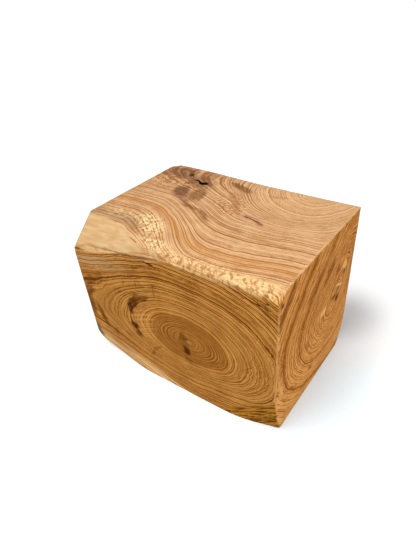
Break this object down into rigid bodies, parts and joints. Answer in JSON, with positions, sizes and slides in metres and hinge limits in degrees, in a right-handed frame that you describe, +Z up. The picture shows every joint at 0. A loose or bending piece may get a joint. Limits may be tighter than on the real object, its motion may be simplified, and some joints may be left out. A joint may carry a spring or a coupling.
{
  "type": "live-edge wood block",
  "caption": "Solid hardwood block with sawn faces and live edges, for use as a low stool, side table or display plinth.",
  "frame": {"origin": "on the floor, under the middle of the block's bounding box", "axes": "+X along the block's length from its left end to its right, +Y from the front to the back, +Z up"},
  "size_m": [0.4664, 0.3381, 0.33],
  "materials": {
    "oiled_wood": "satin oil over sanded solid hardwood"
  },
  "bodies": {
    "root": {"wood_block": "oiled_wood"}
  },
  "joints": []
}
